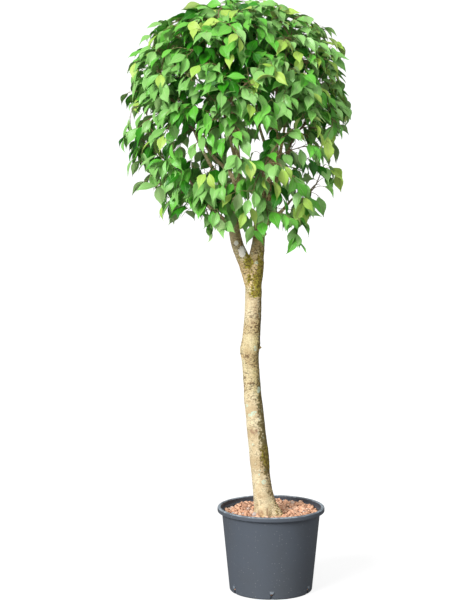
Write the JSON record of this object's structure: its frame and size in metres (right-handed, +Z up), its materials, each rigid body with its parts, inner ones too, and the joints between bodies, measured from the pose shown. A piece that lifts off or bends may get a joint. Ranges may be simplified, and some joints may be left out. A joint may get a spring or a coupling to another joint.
{
  "type": "potted weeping fig standard",
  "caption": "Weeping fig grown as a standard, with a clear pale trunk that forks under a full rounded head of drooping pointed leaves, in a round plastic nursery pot of clay granules.",
  "frame": {"origin": "centre of the pot's flat underside", "axes": "+Z up, towards the crown; -Y is the front of the plant, from which the fork's two stems stand left and right; +X is the right of that view"},
  "size_m": [0.7481, 0.7543, 1.9378],
  "materials": {
    "pot_plastic": "matt dark grey, faintly textured",
    "clay_granules": "dry reddish tan fired clay granules",
    "bark": "pale smooth bark with moss and lichen patches",
    "foliage": "glossy green leaves"
  },
  "bodies": {
    "root": {"bough_high_back": "bark", "bough_high_front": "bark", "bough_low_back": "bark", "bough_low_front": "bark", "bough_low_left": "bark", "bough_low_left_front": "bark", "bough_low_right": "bark", "bough_low_right_back": "bark", "bough_mid_back": "bark", "bough_mid_front": "bark", "bough_mid_left": "bark", "bough_mid_left_back": "bark", "bough_mid_right": "bark", "bough_mid_right_front": "bark", "granules": "clay_granules", "leaves_high_back": "foliage", "leaves_high_front": "foliage", "leaves_high_left": "foliage", "leaves_high_right": "foliage", "leaves_low_back": "foliage", "leaves_low_front": "foliage", "leaves_low_left": "foliage", "leaves_low_left_front": "foliage", "leaves_low_right": "foliage", "leaves_low_right_back": "foliage", "leaves_mid_back": "foliage", "leaves_mid_front": "foliage", "leaves_mid_left": "foliage", "leaves_mid_left_back": "foliage", "leaves_mid_right": "foliage", "leaves_mid_right_front": "foliage", "pot": "pot_plastic", "stem_left": "bark", "stem_right": "bark", "trunk": "bark"}
  },
  "joints": []
}
